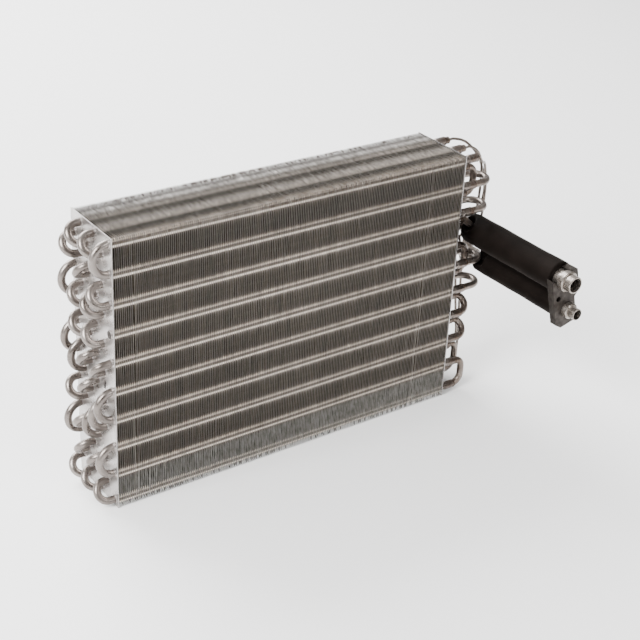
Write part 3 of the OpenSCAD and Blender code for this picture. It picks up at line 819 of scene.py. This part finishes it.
# %% The collar metal and the outer rows
# painted highlights on the upper and lower shoulders, a painted dark reflection between
collar_highlight_tones = tones_over(
    TUBE_PITCH, TUBE_PITCH / 2,
    [
        (-4.2, 0.06, 0.2), (-2.8, 0.1, 0.16), (-2.1, 0.88, 0.1), (-0.8, 0.9, 0.1),
        (0.0, 0.13, 0.2), (1.8, 0.07, 0.24), (2.7, 0.95, 0.13), (4.0, 0.95, 0.13),
        (4.5, 0.15, 0.16),
    ],
)


def collar_highlights(name, rows_run):
    """Collar foil with two painted highlight lines along each tube."""
    material, tree, shader, place_in = node_material(name)
    run = fraction(tree, run_along(tree, place_in, *rows_run))
    tree.links.new(ramp(tree, run, collar_highlight_tones), shader.inputs["Base Color"])
    glint_and_gloss = noise(tree, place_in, 700.0, 2.0)
    tree.links.new(spread(tree, glint_and_gloss, 0.35, 0.6), shader.inputs["Roughness"])
    shader.inputs["Metallic"].default_value = 0.4
    return material


collar_row("front_collars", 1, 3, 9, 1, collar_highlights("collar_front", odd_rows))
collar_row("back_collars", 6, 2, 7, -1, collar_highlights("collar_back", even_rows))

# %% [markdown]
# A thin bead of braze fills the corner where each return bend, spur or plug
# enters its bell. Its section is a small quarter fillet, turned round the
# tube's axis, with a few low waves so that no two look alike. The heat has
# left it brown. The one place with no tube gets none.

# %% Braze rings
# width over both plates, and how far the bells reach past the right one
CORE_W, BELL_REACH = 339.4, 16.0
TUBE_R, BELL_R, BELL_END = 3.175, 3.825, CORE_W + BELL_REACH
EMPTY_PLACE = (1, 4)
open_places = [
    (row, seat) for row in SEATS for seat in range(1, SEATS[row] + 1)
    if (row, seat) != EMPTY_PLACE
]
# the section's corners: place past the bell's end, and radius
bead_x = np.array([-0.5, -0.1, 0.35, 0.8, 1.3, 1.3, -0.5])
bead_r = np.array(
    [
        BELL_R + 0.02, BELL_R + 0.1, BELL_R - 0.05, TUBE_R + 0.3, TUBE_R + 0.04,
        TUBE_R - 0.2, TUBE_R - 0.2,
    ]
)
angle = np.linspace(0, 2 * np.pi, 20, endpoint=False)


def braze_ring(row, seat, number):
    """Bead's section turned round the tube; outside the tube its radius has low waves."""
    y, z = tube_place(row, seat)
    uneven = 1 + 0.02 * np.sin(2 * angle + number) + 0.012 * np.sin(5 * angle + 2 * number)
    r = np.where(bead_r < TUBE_R, bead_r, bead_r * uneven[:, None])
    x = BELL_END + bead_x + 0 * r
    around = angle[:, None]
    return np.stack([x, y + r * np.cos(around), z + r * np.sin(around)], -1).reshape(-1, 3)


rings = [braze_ring(row, seat, k) for k, (row, seat) in enumerate(open_places)]
ring_faces = grid_faces(len(angle), len(bead_x), closed_rows=True, closed_columns=True)
faces = np.concatenate([ring_faces + k * len(rings[0]) for k in range(len(rings))])
make_piece("braze_rings", np.concatenate(rings), faces, braze_metal)

# %% [markdown]
# ## The foam sleeves
# Each pipe wears a tube of closed-cell foam that keeps warm air off the cold
# metal. It is soft, so it is never quite round, its ends have small round
# lips, and it gives way where something presses on it. The sleeve is a grid of
# points: one way round the pipe, the other way out along the foam and back
# through its bore.

# %% One foam sleeve
# radius of the lips, the sleeves' front ends, and room for the waves in the solid
LIP, FOAM_FRONT, WAVE_ROOM = 1.2, -92.2, 0.27
THINNEST_FOAM = 0.25


def foam_sleeve(name, node, axis, bore, outside, back_end, give):
    """
    Soft tube along Y about the axis (x, z). The radius is the outside plus low
    waves, less the lip's quarter circle at both ends. `give` takes radius,
    angle in degrees and y, and lowers the radius where the foam gives way.
    """
    lip = np.radians([90.0, 60.0, 30.0])
    start, sunk = LIP * (1 - np.sin(lip)), LIP * (1 - np.cos(lip))
    straight = np.linspace(FOAM_FRONT + LIP, back_end - LIP, 156)
    ends = [back_end, FOAM_FRONT]
    y = np.concatenate([FOAM_FRONT + start, straight, back_end - start[::-1], ends])
    inset = np.concatenate([sunk, 0 * straight, sunk[::-1], [0, 0]])[:, None]
    angle = np.linspace(0, 360, 72, endpoint=False)[None, :]
    y, angle = y[:, None] + 0 * angle, angle + 0 * y[:, None]
    around = np.radians(angle)
    soft = 0.16 * np.sin(0.07 * y + 2 * around) + 0.09 * np.sin(0.19 * y - 3 * around + 1)
    yielded = give(outside - WAVE_ROOM + soft, angle, y)
    radius = np.maximum(yielded - inset, bore + THINNEST_FOAM)
    radius[-2:] = bore
    points = np.stack([axis[0] + radius * np.cos(around), y, axis[1] + radius * np.sin(around)], -1)
    faces = grid_faces(*radius.shape, closed_rows=True, closed_columns=True)
    piece = make_piece(name, points.reshape(-1, 3), faces, foam_black)
    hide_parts(node)


# %% [markdown]
# The suction sleeve is pushed back over the first spur, which comes in through
# a hole in the foam. The liquid sleeve is squeezed flat behind a return bend.
# Both are made by pulling the radius in over a patch of angle and length, with
# a smooth rim, so the sleeve stays one closed surface.

# %% The two sleeves
# axis (x, z), bore, outside and back end of each sleeve
SUCTION_SLEEVE = ((374.9, 156.5), 8.04, 13.95, 22.2)
LIQUID_SLEEVE = ((382.8, 126.35), 5.04, 11.25, 14.0)
# middle of the hole and its half widths, in degrees and mm, and its floor's radius
HOLE_ANGLE, HOLE_Y, HOLE_HALF_ANGLE, HOLE_HALF_Y, HOLE_FLOOR = 139.0, 16.5, 29.0, 4.6, 8.3
# where the hole's rim starts and ends, as shares of the half widths
HOLE_RIM = (0.95, 1.3)
# middle of the flat place, and how far from it the sides rise, in degrees
PRESSED_ANGLE, PRESSED_SIDES = 139.5, (27.0, 40.0)
# radius that the foam is pressed to, and where the flat place starts, in mm
PRESSED_R, PRESSED_START = 5.4, (0.5, 3.4)


def smooth_step(value, low, high):
    """0 below low, 1 above high, and 3 t^2 - 2 t^3 between them."""
    t = np.clip((value - low) / (high - low), 0, 1)
    return t * t * (3 - 2 * t)


def hole_for_spur(radius, angle, y):
    """Radius drops to the floor within an ellipse over angle and y."""
    away = np.hypot((angle - HOLE_ANGLE) / HOLE_HALF_ANGLE, (y - HOLE_Y) / HOLE_HALF_Y)
    return HOLE_FLOOR + (radius - HOLE_FLOOR) * smooth_step(away, *HOLE_RIM)


def squeezed_by_bend(radius, angle, y):
    """Radius is pressed in over a band of angles, from the bend to the back end."""
    in_band = 1 - smooth_step(np.abs(angle - PRESSED_ANGLE), *PRESSED_SIDES)
    return radius + (PRESSED_R - radius) * (in_band * smooth_step(y, *PRESSED_START))


foam_sleeve("suction_sleeve", "suction_foam", *SUCTION_SLEEVE, hole_for_spur)
foam_sleeve("liquid_sleeve", "liquid_foam", *LIQUID_SLEEVE, squeezed_by_bend)

# %% [markdown]
# The floor is one plain pale plane, half a millimetre under the core, like the
# paper that a product is photographed on.

# %% The floor
FLOOR_HALF, FLOOR_Z = 6.0, -0.0005
floor_mesh = bpy.data.meshes.new("floor")
floor_corners = [
    (x * FLOOR_HALF, y * FLOOR_HALF, FLOOR_Z) for x, y in ((-1, -1), (1, -1), (1, 1), (-1, 1))
]
floor_mesh.from_pydata(floor_corners, [], [(0, 1, 2, 3)])
floor = bpy.data.objects.new("floor", floor_mesh)
bpy.context.scene.collection.objects.link(floor)
paper, _, shader, _ = node_material("pale_floor")
shader.inputs["Base Color"].default_value = (0.96, 0.96, 0.96, 1)
shader.inputs["Roughness"].default_value = 0.9
floor_mesh.materials.append(paper)
floor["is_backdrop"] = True
print("floor", 2 * FLOOR_HALF, "m wide")

# %% [markdown]
# Three soft lamps light the core: one from the left, one as strong from
# behind, and a weak one from the front. Metal shows what it mirrors, so the
# surrounding is as much a light as the lamps: pale all round, and brightest
# above, behind and to the left, with a soft change between.

# %% The light


def soft_light(name, at, aim, size, power):
    """Square area light that points from one place to another, in metres."""
    data = bpy.data.lights.new(name, "AREA")
    data.size, data.energy = size, power
    lamp = bpy.data.objects.new(name, data)
    bpy.context.scene.collection.objects.link(lamp)
    at, aim = np.asarray(at, float), np.asarray(aim, float)
    z = (at - aim) / np.linalg.norm(at - aim)
    x = np.cross([0, 0, 1.0], z)
    x /= np.linalg.norm(x)
    lamp.matrix_world = matrix_of(x, np.cross(z, x), z, at)


soft_light("key_light", (-1.9, -0.3, 1.6), (0, 0, 0.1), 1.3, 130)
soft_light("back_light", (-0.2, 1.9, 1.5), (0, 0, 0.15), 1.7, 130)
soft_light("front_light", (0.5, -2.2, 1.5), (0.1, 0, 0.1), 1.2, 26)

BRIGHT_SIDE = (-0.55, 0.55, 0.63)
SKY_TONES = [(0.0, (0.28, 0.27, 0.26)), (0.35, (0.7, 0.7, 0.7)), (0.8, (1.0, 1.0, 1.0))]
world = bpy.data.worlds.new("studio")
world.use_nodes = True
tree = world.node_tree
direction = tree.nodes.new("ShaderNodeTexCoord")
toward = tree.nodes.new("ShaderNodeVectorMath")
toward.operation = "DOT_PRODUCT"
toward.inputs[1].default_value = BRIGHT_SIDE
tree.links.new(direction.outputs["Generated"], toward.inputs[0])
sky = ramp(tree, toward.outputs["Value"], SKY_TONES)
tree.links.new(sky, tree.nodes["Background"].inputs["Color"])
tree.nodes["Background"].inputs["Strength"].default_value = 1.5
bpy.context.scene.world = world
print(len(bpy.data.lights), "lamps")

# %% [markdown]
# Last, the dressed part is measured again, and its box is printed. Its box
# has to be the CAD box, so that the part still fits where the CAD model says
# it does.

# %% Finish
low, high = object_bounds()
print("visual box", [round(v, 4) for v in (*low, *high)])
